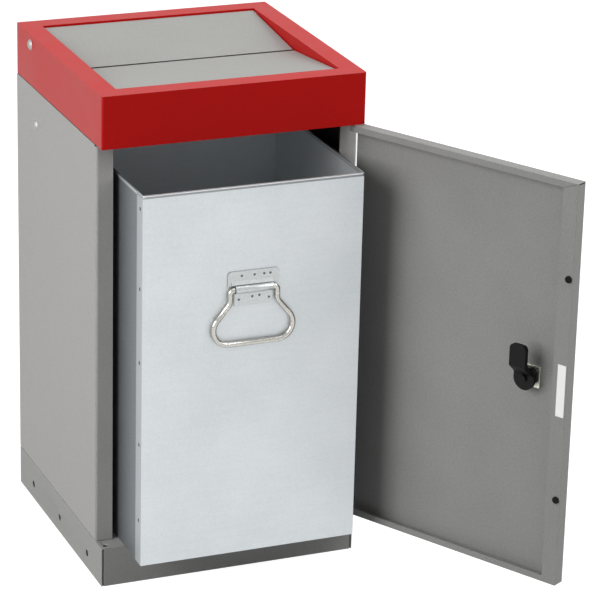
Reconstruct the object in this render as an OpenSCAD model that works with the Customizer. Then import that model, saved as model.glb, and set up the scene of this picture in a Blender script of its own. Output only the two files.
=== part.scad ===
/* [Cabinet] */
// Width of the cabinet over its side walls
cab_w = 340; // [300:1:420]
// Depth of the cabinet from front skirt to back wall
cab_d = 340; // [300:1:420]
// Height over the lid's top flange
cab_h = 640; // [560:1:760]
// Height of the lid's outer skirt
lid_skirt = 66; // [50:1:90]
// Height of the plinth tray
plinth_h = 52; // [40:1:80]
// Sheet thickness of body, lid, door and container
sheet = 1; // [0.8:0.1:1.5]
// Sheet thickness of the plinth tray
plinth_sheet = 1.5; // [1:0.1:2]
// Setback of the corner posts behind the plinth's front
post_setback = 23; // [18:1:30]
// Width of each corner post's face
post_w = 22; // [15:1:30]

/* [Lid and flaps] */
// Width of the lid's flat top flange
lid_flange = 26; // [20:1:34]
// Fall of each flap from its hinge edge to the centre line
flap_fall = 14; // [8:1:18]
// Depth of the down-turned lips along the flap edges
flap_lip = 8; // [6:1:10]
// Gap between the two flaps along the centre line
flap_gap = 5; // [1:0.5:8]
// Diameter of the flap hinge rods
rod_d = 5; // [4:0.5:6]

/* [Door] */
// Opening angle of the door as drawn
door_open = 119.3; // [100:0.1:135]
// Gap between the closed door's free edge and the line of the side wall
door_side_gap = 1.5; // [1:0.5:4]
// Thickness of the folded door tray
door_t = 16; // [12:1:20]
// Gap between the door and the plinth or lid
door_gap = 2; // [1.5:0.5:3]
// Diameter of the door's hinge pins
pin_d = 6; // [5:0.5:7]
// Distance of the lock from the door's free edge
lock_inset = 60.7; // [55:0.1:75]
// Height of the lock above the floor
lock_z = 312; // [250:1:380]

/* [Container] */
// Gap between the lift-out container's side and the corner post beside it
box_gap = 6; // [4:0.5:15]
// Outside depth of the container
box_d = 284; // [250:1:290]
// Height of the container
box_h = 482; // [420:1:490]
// How far the container's front stands out past the plinth
box_out = 62.2; // [50:0.1:80]
// Sideways offset of the container from the cabinet's centre
box_x = 1.5; // [0:0.1:2]
// Drop of the handle's pivot line below the container's rim
handle_drop = 131; // [110:1:150]
// Diameter of the handle's bent wire
wire_d = 7; // [6:0.5:8]

/* [Hidden] */
$fn = 48;

eps = 0.01;
cut = 1;
run_fit = 0.05;
half_w = cab_w / 2;
half_d = cab_d / 2;
front_y = -half_d;
lid_base = cab_h - lid_skirt;
corner_r = 2.5;

post_y = front_y + post_setback;
post_r = 3.5;
post_lip = 4;
shell_foot = 15;
foot_relief = 4;
foot_groove = 0.6;
foot_groove_h = 1.1;
lid_seam = 1.4;
corner_relief = 5;
corner_relief_h = 3;
screw_inset = 9;
screw_from_post = 47;
screw_from_back = 60;
screw_front = post_y + screw_from_post;
screw_back = half_d - screw_from_back;
foot_screw_xs = [-half_w + screw_inset, half_w - screw_inset];
foot_screw_ys = [screw_front, (screw_front + screw_back) / 2, screw_back];
foot_screw_d = 5;
foot_screw_len = 8;
screw_head_d = 9.5;
screw_head_top = 7;
screw_head_h = 2.6;

plinth_lip = 20;
plinth_seam = 1.5;
anchor_d = 9;
anchor_pitch = 112;
anchor_z = 20.5;

frame_t = 1.5;
frame_lap = 59;
frame_base = lid_base - frame_lap;
frame_setback = 6;
frame_front = post_y + frame_setback;
bolt_d = 8;
bolt_head_d = 14;
bolt_head_h = 3.6;
bolt_hole_d = 8.4;
thread_past_nut = 2;
nut_flats = 13;
nut_h = 6.5;
// Across-flats width of a hexagon over its corner-to-corner width
hexagon = cos(30);
lid_bolt_at = 112;
lid_bolt_drop = 13.5;
lid_bolt_z = cab_h - lid_bolt_drop;
body_bolt_at = 91;
body_bolt_drop = 47.4;
body_bolt_z = lid_base - body_bolt_drop;
// The back wall's bolts sit higher, clear of the container's rim
back_bolt_drop = 14;
back_bolt_z = lid_base - back_bolt_drop;

throat_x = half_w - lid_flange;
throat_y = half_d - lid_flange;
skirt_drop = 30;
end_skirt_drop = 18;
lid_foot = 21;
notch_w = 4;
notch_h = 3;
lug_x = 60;
lug_w = 12;
lug_reach = 4.5;
lug_drop = 14.4;
lug_z = cab_h - lug_drop;

rod_inset = 7.6;
rod_y = throat_y - rod_inset;
rod_drop = 9;
rod_z = cab_h - rod_drop;
rod_past_skirt = 3.5;
rod_reach = throat_x + sheet + rod_past_skirt;
flap_side_gap = 1.5;
flap_half = throat_x - flap_side_gap;
flap_hinge_gap = 2;
flap_out_y = throat_y - flap_hinge_gap;
flap_in_y = flap_gap / 2;
flap_sink = 2.5;
flap_high = cab_h - flap_sink;
flap_low = flap_high - flap_fall;
flap_slope = atan2(flap_fall, flap_out_y - flap_in_y);
// How far the centre lips lean back under the flaps, and their thickness along the level
lip_lean = 8;
lip_across = sheet * norm([flap_lip, lip_lean]) / flap_lip;
stop_gap = 0.3;
flap_stop_z = lug_z + sheet + stop_gap;
knuckle_d = 9;
knuckle_pad = 3;
knuckle_out = flap_half - sheet;
end_knuckle_len = 29.5;
mid_knuckle_half = 20;
knuckle_ends = [
    [-knuckle_out, end_knuckle_len - knuckle_out],
    [-mid_knuckle_half, mid_knuckle_half],
    [knuckle_out - end_knuckle_len, knuckle_out]
];
coil_d = 8.6;
coil_w = 30;
coil_gap = 7;
coil_mid = knuckle_out - end_knuckle_len - coil_gap - coil_w / 2;
leg_d = 1.6;
leg_len = 44;
leg_lift = 3.9;
bush_d = 8;
bush_rim_d = 11;
bush_rim_t = 0.9;
cap_d = 10;
cap_t = 3;

pivot_inset = 7.5;
pivot_x = half_w - pivot_inset;
pivot_y = front_y + door_t / 2;
door_past_pivot = 4.3;
door_end = pivot_x + door_past_pivot;
door_free = -half_w + door_side_gap;
door_back = front_y + door_t;
door_low = plinth_h + door_gap;
door_high = lid_base - door_gap;
door_edge = 8;
door_free_edge = 20;
mitre_gap = 0.5;
corner_slot = 1.5;
corner_web = 2;
block_w = 15;
block_h = 7;
block_inset = 0.3;
pin_out = 8;
pin_in = 8;
washer_d = 13;

lock_x = door_free + lock_inset;
lock_d = 18.8;
lock_rim_d = 24;
lock_rim_t = 1.5;
lock_depth = 13;
lock_plate_w = 28;
lock_plate_t = 2.5;
lock_nut_d = 26;
lock_nut_end = 12;
core_d = 12;
key_slot_w = 1.6;
key_slot_h = 7;
key_slot_depth = 4;
cam_gap = 0.2;
cam_t = 4;
cam_r = 15;
cam_w = 23;
cam_round = 6;
cam_foot = 6;
cam_knee = 22;
cam_reach = 48;
cam_near = 27.5;
cam_far = 33.5;
// How much lower the crank's inner face bends than its outer face, at foot and knee
cam_foot_step = 1.5;
cam_knee_step = 2.5;
drive_w = 6.2;
cam_screw_d = 4;
cam_screw_len = 7;
cam_hole_depth = 5;
cam_head_d = 8.8;
cam_head_h = 3;

buffer_d = 8.7;
buffer_h = 2;
buffer_inset = 5.2;
buffer_x = door_free + buffer_inset;
buffer_rise = 113.8;
buffer_fall = 119.2;
buffer_zs = [door_low + buffer_rise, door_high - buffer_fall];
label_w = 11.8;
label_h = 67;
label_t = 0.3;
label_inset = 7.4;
label_x = door_free + label_inset;
label_drop = 2.5;
label_z = lock_z - label_drop;

box_front = front_y - box_out;
box_half = half_w - post_w - box_gap;
box_low = plinth_h;
box_high = plinth_h + box_h;
hem = 4.5;
front_hem = 3.5;
front_hem_edge = 0.8;
front_hem_h = 4.5;
front_lap = 20;
lap_gap = 0.4;
base_turn = 12;

pivot_z = box_high - handle_drop;
bail_gap = 0.1;
wire_y = box_front - wire_d / 2 - bail_gap;
handle_t = 1.5;
roll_w = 49;
top_plate_w = 66.5;
top_plate_low = 4.3;
top_plate_high = 22.5;
top_plate_r = 5;
low_plate_drop = 22;
plate_relief = 0.5;
plate_edge = 0.8;
ridge_past = 4;
ridge_out = 2.2;
ridge_low = 5.6;
ridge_high = 10;
ridge_lip = 0.6;
mouth_len = 1.6;
mouth_gap = 0.9;
bail_neck = 30.5;
bail_neck_drop = 13;
bail_neck_r = 12;
bail_flare = 39.5;
bail_drop = 70;
bail_r = 20;
bail_bend = 5;
wire_seat = 0.2;
bend_d = wire_d + 0.02;

// Lays a flat outline given as [Y, Z] along X between two stations.
module along_x(x0, x1) {
    translate([x0, 0, 0]) rotate([90, 0, 90]) linear_extrude(x1 - x0) children();
}

// Lays a flat outline given as [X, Z] along Y between two stations.
module along_y(y0, y1) {
    translate([0, y1, 0]) rotate([90, 0, 0]) linear_extrude(y1 - y0) children();
}

// A box between two corners.
module span(a, b) {
    translate(a) cube(b - a);
}

// A round bar or hole along X.
module bar_x(x0, x1, y, z, d) {
    translate([x0, y, z]) rotate([0, 90, 0]) cylinder(h = x1 - x0, d = d);
}

// A round bar or hole along Y.
module bar_y(x, y0, y1, z, d) {
    translate([x, y0, z]) rotate([-90, 0, 0]) cylinder(h = y1 - y0, d = d);
}

// A rectangle centred on the origin with true round corners.
module round_rect(w, d, r) {
    square([w - 2 * r, d], center = true);
    square([w, d - 2 * r], center = true);
    for (sx = [-1, 1], sy = [-1, 1])
        translate([sx * (w / 2 - r), sy * (d / 2 - r)]) circle(r = r);
}

// A rectangular ring of sheet between two heights, with rounded outer corners.
module wall_ring(w, d, t, r, z0, z1) {
    translate([0, 0, z0])
        linear_extrude(z1 - z0)
            difference() {
                round_rect(w, d, r);
                square([w - 2 * t, d - 2 * t], center = true);
            }
}

// Both mirror images of a part about the YZ plane.
module both_sides() {
    children();
    mirror([1, 0, 0]) children();
}

// Pivot holes for the door, on the side in use and the spare side.
module pivot_holes(z0, z1) {
    for (s = [-1, 1])
        translate([s * pivot_x, pivot_y, z0]) cylinder(h = z1 - z0, d = pin_d + 2 * run_fit);
}

module plinth() {
    color("#7C7C79")
    difference() {
        union() {
            span([-half_w, -half_d, plinth_h - plinth_sheet], [half_w, half_d, plinth_h]);
            both_sides()
                span([half_w - plinth_sheet, -half_d, 0], [half_w, half_d, plinth_h]);
            plinth_end();
            mirror([0, 1, 0]) plinth_end();
            both_sides()
                span([half_w - plinth_lip, -half_d + plinth_sheet, 0],
                     [half_w, half_d - plinth_sheet, plinth_sheet]);
            for (s = [-1, 1])
                translate([0, s * (half_d - plinth_lip / 2), plinth_sheet / 2])
                    cube([cab_w - 2 * plinth_lip, plinth_lip, plinth_sheet], center = true);
        }
        pivot_holes(plinth_h - plinth_sheet - cut, plinth_h + cut);
        for (i = [-1, 0, 1])
            bar_x(-half_w - cut, half_w + cut, i * anchor_pitch, anchor_z, anchor_d);
        for (x = foot_screw_xs, y = foot_screw_ys)
            translate([x, y, plinth_h - plinth_sheet - cut])
                cylinder(h = plinth_sheet + 2 * cut, d = foot_screw_d);
    }
}

// The front skirt between the side skirts, with an open seam at each corner.
module plinth_end() {
    span([-half_w + plinth_sheet + plinth_seam, -half_d, 0],
         [half_w - plinth_sheet - plinth_seam, -half_d + plinth_sheet, plinth_h]);
}

module floor_screws() {
    color("#B9B9B4")
    for (x = foot_screw_xs, y = foot_screw_ys) {
        translate([x, y, plinth_h - foot_screw_len])
            cylinder(h = foot_screw_len + sheet + eps, d = foot_screw_d);
        translate([x, y, plinth_h + sheet])
            cylinder(h = screw_head_h, d1 = screw_head_d, d2 = screw_head_top);
    }
}

// Plan of one side wall with its corner post, front edge rounded like a bend.
module post_plan() {
    translate([half_w - sheet, post_y + post_r]) square([sheet, half_d - post_y - post_r]);
    translate([half_w - post_r, post_y + post_r])
        intersection() {
            difference() {
                circle(r = post_r);
                circle(r = post_r - sheet);
            }
            translate([0, -post_r]) square(post_r);
        }
    translate([half_w - post_w, post_y]) square([post_w - post_r, sheet]);
    translate([half_w - post_w, post_y]) square([sheet, post_lip]);
}

module body_shell() {
    color("#ABAAA8")
    difference() {
        union() {
            translate([0, 0, plinth_h])
                linear_extrude(lid_base - lid_seam - plinth_h) {
                    post_plan();
                    mirror([1, 0]) post_plan();
                    translate([-half_w, half_d - sheet]) square([cab_w, sheet]);
                }
            both_sides()
                span([half_w - shell_foot, post_y + sheet + foot_relief, plinth_h],
                     [half_w, half_d, plinth_h + sheet]);
        }
        for (x = foot_screw_xs, y = foot_screw_ys)
            translate([x, y, plinth_h - cut]) cylinder(h = sheet + 2 * cut, d = foot_screw_d);
        body_bolt_sites() bolt_hole();
        foot_seam();
        both_sides()
            span([half_w - corner_relief, post_y - cut, lid_base - corner_relief_h],
                 [half_w + cut, post_y + corner_relief, lid_base]);
    }
}

// The shallow groove round the outside where the body stands on the plinth.
module foot_seam() {
    inner = half_w - foot_groove;
    difference() {
        span([-cab_w, -cab_d, plinth_h - cut], [cab_w, cab_d, plinth_h + foot_groove_h]);
        span([-inner, post_y + foot_groove, plinth_h - 2 * cut],
             [inner, half_d - foot_groove, lid_base]);
    }
}

// Puts a part drawn for the left wall at each fixing on the left, right and back walls.
module bolt_sites(at, side_z, back_z) {
    translate([-half_w, at, side_z]) children();
    translate([half_w, at, side_z]) rotate(180) children();
    for (x = [-at, at]) translate([x, half_d, back_z]) rotate(-90) children();
}

module body_bolt_sites() {
    bolt_sites(body_bolt_at, body_bolt_z, back_bolt_z) children();
}

module lid_bolt_sites() {
    bolt_sites(lid_bolt_at, lid_bolt_z, lid_bolt_z) children();
}

module bolt_hole() {
    bar_x(-cut, sheet + frame_t + cut, 0, 0, bolt_hole_d);
}

module top_frame() {
    color("#8F8F8C")
    difference() {
        translate([0, 0, frame_base])
            linear_extrude(cab_h - sheet - frame_base) {
                for (x = [-half_w + sheet, half_w - sheet - frame_t])
                    translate([x, frame_front])
                        square([frame_t, half_d - sheet - frame_front]);
                translate([-half_w + sheet, half_d - sheet - frame_t])
                    square([cab_w - 2 * sheet, frame_t]);
            }
        body_bolt_sites() bolt_hole();
        lid_bolt_sites() bolt_hole();
    }
}

module lid_frame() {
    color("#A31A14")
    difference() {
        union() {
            wall_ring(cab_w, cab_d, sheet, corner_r, lid_base, cab_h);
            wall_ring(cab_w, cab_d, lid_flange, corner_r, cab_h - sheet, cab_h);
            both_sides()
                span([throat_x, -throat_y, cab_h - skirt_drop],
                     [throat_x + sheet, throat_y, cab_h]);
            for (s = [-1, 1])
                translate([0, s * (throat_y + sheet / 2), cab_h - end_skirt_drop / 2])
                    cube([2 * throat_x + 2 * sheet, sheet, end_skirt_drop], center = true);
            for (sx = [-1, 1], sy = [-1, 1])
                translate([sx * lug_x, sy * (throat_y - lug_reach / 2 + eps), lug_z + sheet / 2])
                    cube([lug_w, lug_reach + 2 * eps, sheet], center = true);
            span([-half_w + sheet, front_y, lid_base],
                 [half_w - sheet, front_y + lid_foot, lid_base + sheet]);
        }
        pivot_holes(lid_base - cut, lid_base + sheet + cut);
        span([half_w - notch_w, front_y - cut, lid_base - cut],
             [half_w + cut, front_y + sheet, lid_base + notch_h]);
        for (s = [-1, 1])
            bar_x(-throat_x - 2 * sheet, throat_x + 2 * sheet, s * rod_y, rod_z, bush_d);
        lid_bolt_sites() bolt_hole();
    }
}

module frame_bolts() {
    color("#9A9A98") {
        body_bolt_sites() frame_bolt();
        lid_bolt_sites() frame_bolt();
    }
}

// A low domed head outside the sheet with its shank through to the nut.
module frame_bolt() {
    dome_r = (pow(bolt_head_d / 2, 2) + pow(bolt_head_h, 2)) / (2 * bolt_head_h);
    intersection() {
        translate([dome_r - bolt_head_h, 0, 0]) sphere(r = dome_r);
        bar_x(-bolt_head_h - cut, 0, 0, 0, bolt_head_d);
    }
    bar_x(-eps, sheet + frame_t + nut_h + thread_past_nut, 0, 0, bolt_d);
}

module frame_nuts() {
    color("#B9B9B4") {
        body_bolt_sites() frame_nut();
        lid_bolt_sites() frame_nut();
    }
}

module frame_nut() {
    difference() {
        translate([sheet + frame_t, 0, 0]) rotate([0, 90, 0])
            cylinder(h = nut_h, d = nut_flats / hexagon, $fn = 6);
        bar_x(sheet, sheet + frame_t + nut_h + cut, 0, 0, bolt_d);
    }
}

module hinge_rods() {
    color("#B9B9B4")
    for (s = [-1, 1]) bar_x(-rod_reach, rod_reach, s * rod_y, rod_z, rod_d);
}

module rod_bushes() {
    color("#E8E6DE")
    for (s = [-1, 1])
        both_sides()
            difference() {
                union() {
                    bar_x(throat_x - bush_rim_t, throat_x, s * rod_y, rod_z, bush_rim_d);
                    bar_x(throat_x - eps, throat_x + sheet, s * rod_y, rod_z, bush_d);
                }
                bar_x(throat_x - 2 * cut, throat_x + 2 * cut, s * rod_y, rod_z, rod_d);
            }
}

module rod_caps() {
    color("#B9B9B4")
    for (s = [-1, 1])
        both_sides()
            difference() {
                bar_x(throat_x + sheet, throat_x + sheet + cap_t, s * rod_y, rod_z, cap_d);
                bar_x(throat_x, rod_reach + cut, s * rod_y, rod_z, rod_d);
            }
}

// The rear flap's sheet: hinge edge at the back, centre lip at the middle line.
module flap() {
    drop = sheet / cos(flap_slope);
    difference() {
        union() {
            along_x(-flap_half, flap_half)
                polygon([
                    [flap_out_y, flap_stop_z],
                    [flap_out_y, flap_high],
                    [flap_in_y, flap_low],
                    [flap_in_y + lip_lean, flap_low - flap_lip],
                    [flap_in_y + lip_lean + lip_across, flap_low - flap_lip],
                    [flap_in_y + lip_across + lip_lean * drop / flap_lip, flap_low - drop],
                    [flap_out_y - sheet, flap_high - drop],
                    [flap_out_y - sheet, flap_stop_z]
                ]);
            both_sides()
                along_x(flap_half - sheet, flap_half) {
                    polygon([
                        [flap_out_y - sheet / 2, flap_high - sheet / 2],
                        [flap_in_y + lip_across, flap_low - sheet / 2],
                        [flap_in_y + lip_lean + lip_across / 2, flap_low - flap_lip],
                        [flap_out_y - sheet / 2, flap_high - flap_lip]
                    ]);
                    translate([rod_y, rod_z]) circle(d = knuckle_d);
                }
        }
        bar_x(-half_w, half_w, rod_y, rod_z, rod_d + 2 * run_fit);
    }
}

// Three hinge tubes under one flap, each with a pad up to the sheet.
module knuckles() {
    rise = (flap_high - rod_z - (flap_out_y - rod_y) * tan(flap_slope)) - sheet / cos(flap_slope);
    for (k = knuckle_ends)
        difference() {
            union() {
                bar_x(k[0], k[1], rod_y, rod_z, knuckle_d);
                along_x(k[0], k[1])
                    polygon([
                        [rod_y - knuckle_pad, rod_z],
                        [rod_y + knuckle_pad, rod_z],
                        [rod_y + knuckle_pad, rod_z + rise + knuckle_pad * tan(flap_slope)],
                        [rod_y - knuckle_pad, rod_z + rise - knuckle_pad * tan(flap_slope)]
                    ]);
            }
            bar_x(-half_w, half_w, rod_y, rod_z, rod_d + 2 * run_fit);
        }
}

// Two torsion springs on the rod, each with a leg under the flap's sheet.
module springs() {
    for (s = [-1, 1])
        translate([s * coil_mid, rod_y, rod_z])
            rotate([flap_slope, 0, 0]) {
                difference() {
                    bar_x(-coil_w / 2, coil_w / 2, 0, 0, coil_d);
                    bar_x(-coil_w, coil_w, 0, 0, coil_d - 2 * leg_d);
                }
                bar_y(s * (coil_w / 2 - leg_d), -leg_len, 0, leg_lift, leg_d);
            }
}

module rear_flap() {
    color("#A9A9A7") flap();
}

module front_flap() {
    color("#A9A9A7") rotate(180) flap();
}

module rear_knuckles() {
    color("#8F8F8C") knuckles();
}

module front_knuckles() {
    color("#8F8F8C") rotate(180) knuckles();
}

module rear_springs() {
    color("#6E6E6C") springs();
}

module front_springs() {
    color("#6E6E6C") rotate(180) springs();
}

// Turns a part drawn on the closed door to the door's open place.
module on_door() {
    translate([pivot_x, pivot_y, 0]) rotate(door_open) translate([-pivot_x, -pivot_y, 0])
        children();
}

// The door's outer sheet with its free, bottom and top edges turned in, and a slit left
// under the top edge at the free corner.
module door_panel() {
    wall_back = door_back - sheet;
    color("#858583")
    on_door()
    difference() {
        union() {
            span([door_free, front_y, door_low], [door_end, front_y + sheet, door_high]);
            span([door_free, front_y, door_low], [door_free + sheet, wall_back, door_high]);
            span([door_free, front_y, door_low], [door_end, wall_back, door_low + sheet]);
            span([door_free, front_y, door_high - sheet], [door_end, wall_back, door_high]);
        }
        bar_y(lock_x, front_y - cut, front_y + 2 * sheet, lock_z, lock_d);
        for (z = [door_low - cut, door_high - 2 * sheet])
            translate([pivot_x, pivot_y, z]) cylinder(h = 3 * sheet, d = pin_d);
        span([door_free - cut, front_y + sheet, door_high - sheet - corner_slot],
             [door_free + 2 * sheet, wall_back - corner_web, door_high - sheet]);
    }
}

// The flanges that return along the door's back, with an open mitre at the top corner.
module door_returns() {
    color("#858583")
    on_door()
    difference() {
        union() {
            span([door_free, door_back - sheet, door_low],
                 [door_free + door_free_edge, door_back, door_high]);
            span([door_free, door_back - sheet, door_low],
                 [door_end, door_back, door_low + door_edge]);
            span([door_free, door_back - sheet, door_high - door_edge],
                 [door_end, door_back, door_high]);
        }
        translate([door_free + sheet, door_back - 2 * sheet, door_high - sheet])
            rotate([0, atan2(door_edge, door_free_edge), 0])
                cube([door_free_edge * 2, 3 * sheet, mitre_gap]);
    }
}

module hinge_blocks() {
    color("#B9B9B4")
    on_door()
    for (z = [door_low + sheet, door_high - sheet - block_h])
        difference() {
            span([door_end - block_w, front_y + sheet, z],
                 [door_end - block_inset, door_back - sheet, z + block_h]);
            translate([pivot_x, pivot_y, z - cut]) cylinder(h = block_h + 2 * cut, d = pin_d);
        }
}

module door_pins() {
    color("#B9B9B4")
    on_door() {
        translate([pivot_x, pivot_y, door_low - pin_out])
            cylinder(h = pin_out + pin_in, d = pin_d);
        translate([pivot_x, pivot_y, door_high - pin_in])
            cylinder(h = pin_out + pin_in, d = pin_d);
    }
}

module hinge_washers() {
    color("#E8E6DE")
    on_door()
    for (z = [plinth_h, door_high])
        translate([pivot_x, pivot_y, z])
            difference() {
                cylinder(h = door_gap, d = washer_d);
                translate([0, 0, -cut]) cylinder(h = door_gap + 2 * cut, d = pin_d);
            }
}

module lock_housing() {
    color("#141414")
    on_door()
    difference() {
        union() {
            bar_y(lock_x, front_y - lock_rim_t, front_y, lock_z, lock_rim_d);
            bar_y(lock_x, front_y - eps, front_y + lock_depth, lock_z, lock_d);
        }
        bar_y(lock_x, front_y - lock_rim_t - cut, front_y + lock_depth + cut, lock_z,
              core_d + 2 * run_fit);
    }
}

module lock_plate() {
    color("#B9B9B4")
    on_door()
    difference() {
        translate([lock_x, front_y + sheet + lock_plate_t / 2, lock_z])
            cube([lock_plate_w, lock_plate_t, lock_plate_w], center = true);
        bar_y(lock_x, front_y, front_y + 2 * lock_plate_t, lock_z, lock_d);
    }
}

module lock_nut() {
    color("#141414")
    on_door()
    difference() {
        translate([lock_x, front_y + sheet + lock_plate_t, lock_z]) rotate([-90, 0, 0])
            rotate(22.5) cylinder(h = lock_nut_end - sheet - lock_plate_t, d = lock_nut_d, $fn = 8);
        bar_y(lock_x, front_y, front_y + lock_depth, lock_z, lock_d);
    }
}

module door_buffers() {
    color("#141414")
    on_door()
    for (z = buffer_zs) bar_y(buffer_x, door_back, door_back + buffer_h, z, buffer_d);
}

module door_label() {
    color("#F2F2F2")
    on_door()
    translate([label_x, door_back + label_t / 2, label_z])
        cube([label_w, label_t, label_h], center = true);
}

module lock_core() {
    color("#B9B9B4")
    on_door()
    difference() {
        union() {
            bar_y(lock_x, front_y - lock_rim_t, front_y + lock_depth + cam_gap, lock_z, core_d);
            translate([lock_x, front_y + lock_depth + cam_gap + cam_t / 2, lock_z])
                cube([drive_w, cam_t, drive_w], center = true);
        }
        translate([lock_x, front_y - lock_rim_t, lock_z])
            cube([key_slot_w, key_slot_depth, key_slot_h], center = true);
        bar_y(lock_x, front_y + lock_depth - cam_hole_depth, front_y + cam_near, lock_z,
              cam_screw_d);
    }
}

// A cranked cam: a disc on the core, a step inward and a straight tongue.
module lock_cam() {
    base = front_y + lock_depth + cam_gap;
    color("#141414")
    on_door()
    difference() {
        intersection() {
            along_x(lock_x - cam_w, lock_x + cam_w)
                translate([0, lock_z])
                    polygon([
                        [base, -cam_r],
                        [base, cam_foot],
                        [front_y + cam_near, cam_knee],
                        [front_y + cam_near, cam_reach],
                        [front_y + cam_far, cam_reach],
                        [front_y + cam_far, cam_knee - cam_knee_step],
                        [base + cam_t, cam_foot - cam_foot_step],
                        [base + cam_t, -cam_r]
                    ]);
            along_y(base - cut, front_y + cam_far + cut)
                translate([lock_x, lock_z]) {
                    circle(r = cam_r);
                    translate([0, cam_reach / 2]) round_rect(cam_w, cam_reach, cam_round);
                }
        }
        translate([lock_x, base + cam_t / 2, lock_z])
            cube([drive_w, 2 * cam_t, drive_w], center = true);
    }
}

module cam_screw() {
    seat = front_y + lock_depth + cam_gap + cam_t;
    color("#141414")
    on_door() {
        bar_y(lock_x, seat, seat + cam_head_h, lock_z, cam_head_d);
        bar_y(lock_x, seat - cam_screw_len, seat + eps, lock_z, cam_screw_d);
    }
}

module container_wrap() {
    back = box_front + box_d;
    color("#C6CBCD")
    translate([box_x, 0, 0]) {
        both_sides() {
            span([box_half - 2 * sheet, box_front + sheet, box_low],
                 [box_half - sheet, back - sheet, box_high]);
            span([box_half - sheet - eps, box_front + front_lap + lap_gap, box_high - hem],
                 [box_half, back, box_high]);
        }
        span([-box_half + sheet, back - 2 * sheet, box_low],
             [box_half - sheet, back - sheet, box_high]);
        span([-box_half, back - sheet - eps, box_high - hem], [box_half, back, box_high]);
    }
}

module container_front() {
    color("#CFD4D5")
    translate([box_x, 0, 0]) {
        span([-box_half, box_front, box_low], [box_half, box_front + sheet, box_high]);
        both_sides()
            span([box_half - sheet, box_front, box_low],
                 [box_half, box_front + front_lap, box_high]);
        intersection() {
            along_x(-box_half, box_half)
                polygon([
                    [box_front + sheet / 2, box_high],
                    [box_front - front_hem, box_high],
                    [box_front - front_hem, box_high - front_hem_edge],
                    [box_front, box_high - front_hem_h],
                    [box_front + sheet / 2, box_high - front_hem_h]
                ]);
            translate([0, 0, box_high - 2 * hem])
                linear_extrude(3 * hem)
                    polygon([
                        [-box_half, box_front + sheet],
                        [-box_half, box_front],
                        [-box_half + front_hem, box_front - front_hem],
                        [box_half - front_hem, box_front - front_hem],
                        [box_half, box_front],
                        [box_half, box_front + sheet]
                    ]);
        }
    }
}

// The container's floor with its edges turned up against the walls.
module container_base() {
    inner = box_half - 2 * sheet;
    color("#C6CBCD")
    translate([box_x, 0, 0])
        difference() {
            span([-inner, box_front + sheet, box_low],
                 [inner, box_front + box_d - 2 * sheet, box_low + base_turn]);
            span([-inner + sheet, box_front + 2 * sheet, box_low + sheet],
                 [inner - sheet, box_front + box_d - 3 * sheet, box_low + base_turn + cut]);
        }
}

// Outline of the upper and lower plates as [X, Z], drawn smaller by an inset at its edges.
module plate_outline(inset) {
    upper_w = top_plate_w - 2 * inset;
    upper_h = top_plate_high - top_plate_low - inset;
    translate([0, top_plate_low + upper_h / 2])
        round_rect(upper_w, upper_h, top_plate_r - inset);
    translate([-upper_w / 2, top_plate_low]) square([upper_w, top_plate_r]);
    translate([-roll_w / 2 + inset, inset - low_plate_drop])
        square([roll_w - 2 * inset, low_plate_drop + top_plate_low + eps - inset]);
}

// Upper and lower spot-welded plates with a half-round roll over the wire and a ridge above.
module handle_plate() {
    face = box_front - handle_t;
    bore = wire_d + 2 * run_fit;
    roll_d = bore + 2 * handle_t;
    color("#B9B5A6")
    translate([box_x, 0, pivot_z])
        difference() {
            union() {
                along_y(face, box_front - plate_relief) plate_outline(0);
                along_y(box_front - plate_relief - eps, box_front) plate_outline(plate_edge);
                along_x(-roll_w / 2 - ridge_past, roll_w / 2)
                    polygon([
                        [face + eps, ridge_high],
                        [face - ridge_out, ridge_low + ridge_lip],
                        [face - ridge_out, ridge_low],
                        [face + eps, ridge_low]
                    ]);
                intersection() {
                    bar_x(-roll_w / 2, roll_w / 2, wire_y, 0, roll_d);
                    span([-roll_w, box_front - roll_d, -roll_d], [roll_w, box_front, roll_d]);
                }
            }
            bar_x(-roll_w, roll_w, wire_y, 0, bore);
            both_sides()
                bar_x(roll_w / 2 - mouth_len, roll_w / 2 + cut, wire_y, 0, bore + 2 * mouth_gap);
        }
}

// One straight length of the bail's wire between two [X, Z] points, let into its neighbours.
module wire(a, b) {
    run = b - a;
    translate([a[0], wire_y, a[1]]) rotate([0, atan2(run[0], run[1]), 0])
        translate([0, 0, -wire_seat]) cylinder(h = norm(run) + 2 * wire_seat, d = wire_d);
}

// A bend of the bail's wire about an [X, Z] centre, from one angle round to another.
module wire_bend(c, r, from, to) {
    translate([c[0], wire_y, c[1]]) rotate([90, 0, 0]) rotate(from)
        rotate_extrude(angle = to - from) translate([r, 0]) circle(d = bend_d);
}

module handle_bail() {
    low = -bail_drop + bail_r;
    side = [bail_r * cos(bail_flare), bail_r * sin(bail_flare)];
    bend = [bail_neck + bail_neck_r, -bail_neck_drop];
    neck = bend - bail_neck_r * [cos(bail_flare), sin(bail_flare)];
    leg = (neck[1] - low - side[1]) / cos(bail_flare);
    foot = neck + leg * [sin(bail_flare), -cos(bail_flare)];
    hub = foot - side;
    color("#B9B5A6")
    translate([box_x, 0, pivot_z]) {
        wire([-bail_neck + bail_bend, 0], [bail_neck - bail_bend, 0]);
        wire([-hub[0], -bail_drop], [hub[0], -bail_drop]);
        both_sides() {
            wire_bend([bail_neck - bail_bend, -bail_bend], bail_bend, 0, 90);
            wire([bail_neck, -bail_bend], [bail_neck, -bail_neck_drop]);
            wire_bend(bend, bail_neck_r, 180, 180 + bail_flare);
            wire(neck, foot);
            wire_bend(hub, bail_r, -90, bail_flare);
        }
    }
}

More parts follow.
